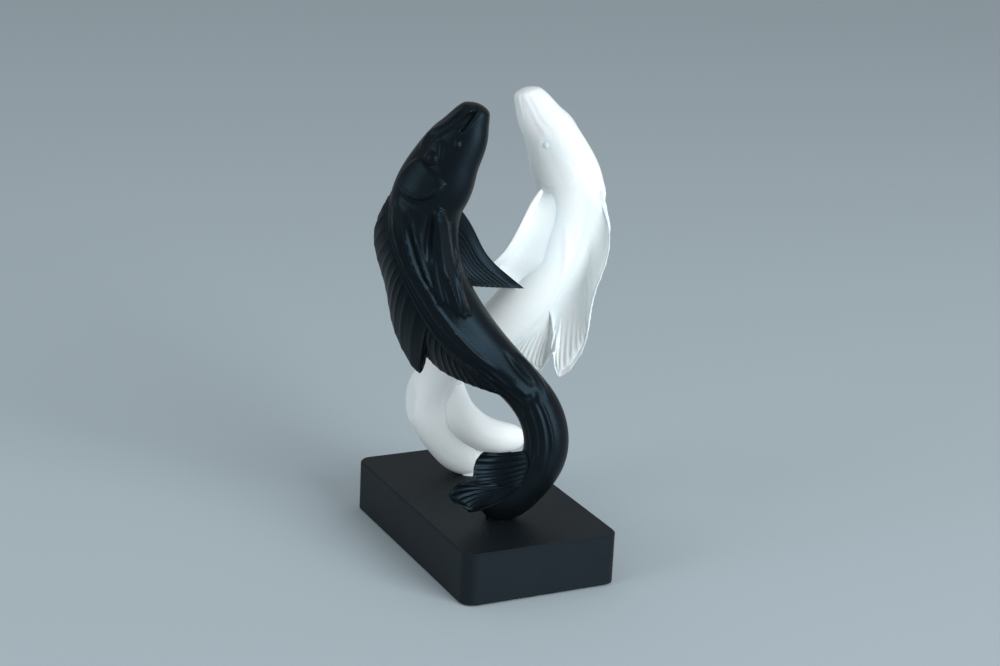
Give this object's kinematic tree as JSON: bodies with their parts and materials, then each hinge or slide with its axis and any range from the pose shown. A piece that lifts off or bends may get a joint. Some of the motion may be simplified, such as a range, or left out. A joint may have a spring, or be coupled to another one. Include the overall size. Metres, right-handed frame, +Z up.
{
  "type": "animal figurine",
  "caption": "Figurine of a black and a white fish that leap up side by side, curled tails on a rectangular black block, for display on a shelf or desk.",
  "frame": {"origin": "centre of the footprint, on the surface the pad rests on", "axes": "+Z up, X along the block's long side, the black fish towards +X and -Y of the white one"},
  "size_m": [0.1, 0.0828, 0.169],
  "materials": {
    "base_plastic": "matte",
    "black_plastic": "satin",
    "white_plastic": "satin",
    "pad_rubber": "matte",
    "insert_brass": "satin",
    "screw_steel": "satin"
  },
  "bodies": {
    "root": {"base_block": "base_plastic", "base_pad": "pad_rubber", "black_fish": "black_plastic", "white_fish": "white_plastic", "black_fish_insert": "insert_brass", "black_fish_screw": "screw_steel", "black_fish_washer": "screw_steel", "white_fish_insert": "insert_brass", "white_fish_screw": "screw_steel", "white_fish_washer": "screw_steel"}
  },
  "joints": []
}
